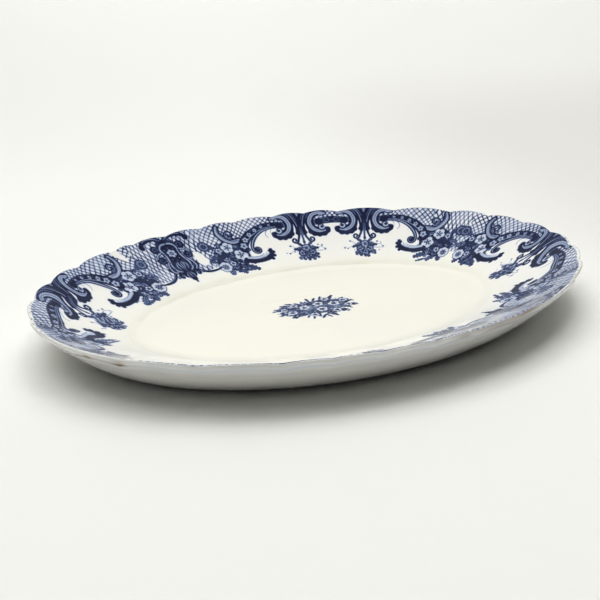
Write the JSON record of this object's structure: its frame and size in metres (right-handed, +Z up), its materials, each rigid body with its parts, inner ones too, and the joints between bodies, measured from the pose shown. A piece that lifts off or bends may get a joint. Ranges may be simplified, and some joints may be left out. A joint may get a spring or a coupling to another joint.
{
  "type": "serving platter",
  "caption": "Oval earthenware serving platter with a scalloped rim, a shallow well, a low foot, a blue printed border and a small flower spray in the middle.",
  "frame": {"origin": "middle of the platter on the surface it stands on", "axes": "+Z up, +X along the long way of the oval, +Y across it towards the far side in the usual view"},
  "size_m": [0.4044, 0.307, 0.037],
  "materials": {
    "biscuit": "fired earthenware biscuit, bare only on the foot",
    "glaze": "clear glossy glaze over ivory earthenware",
    "cobalt": "flow blue cobalt print under the glaze"
  },
  "bodies": {
    "root": {"clay_body": "biscuit", "glaze_coat": "glaze", "base_glaze": "glaze", "border_print_back": "cobalt", "border_print_front": "cobalt", "centre_print": "cobalt"}
  },
  "joints": []
}
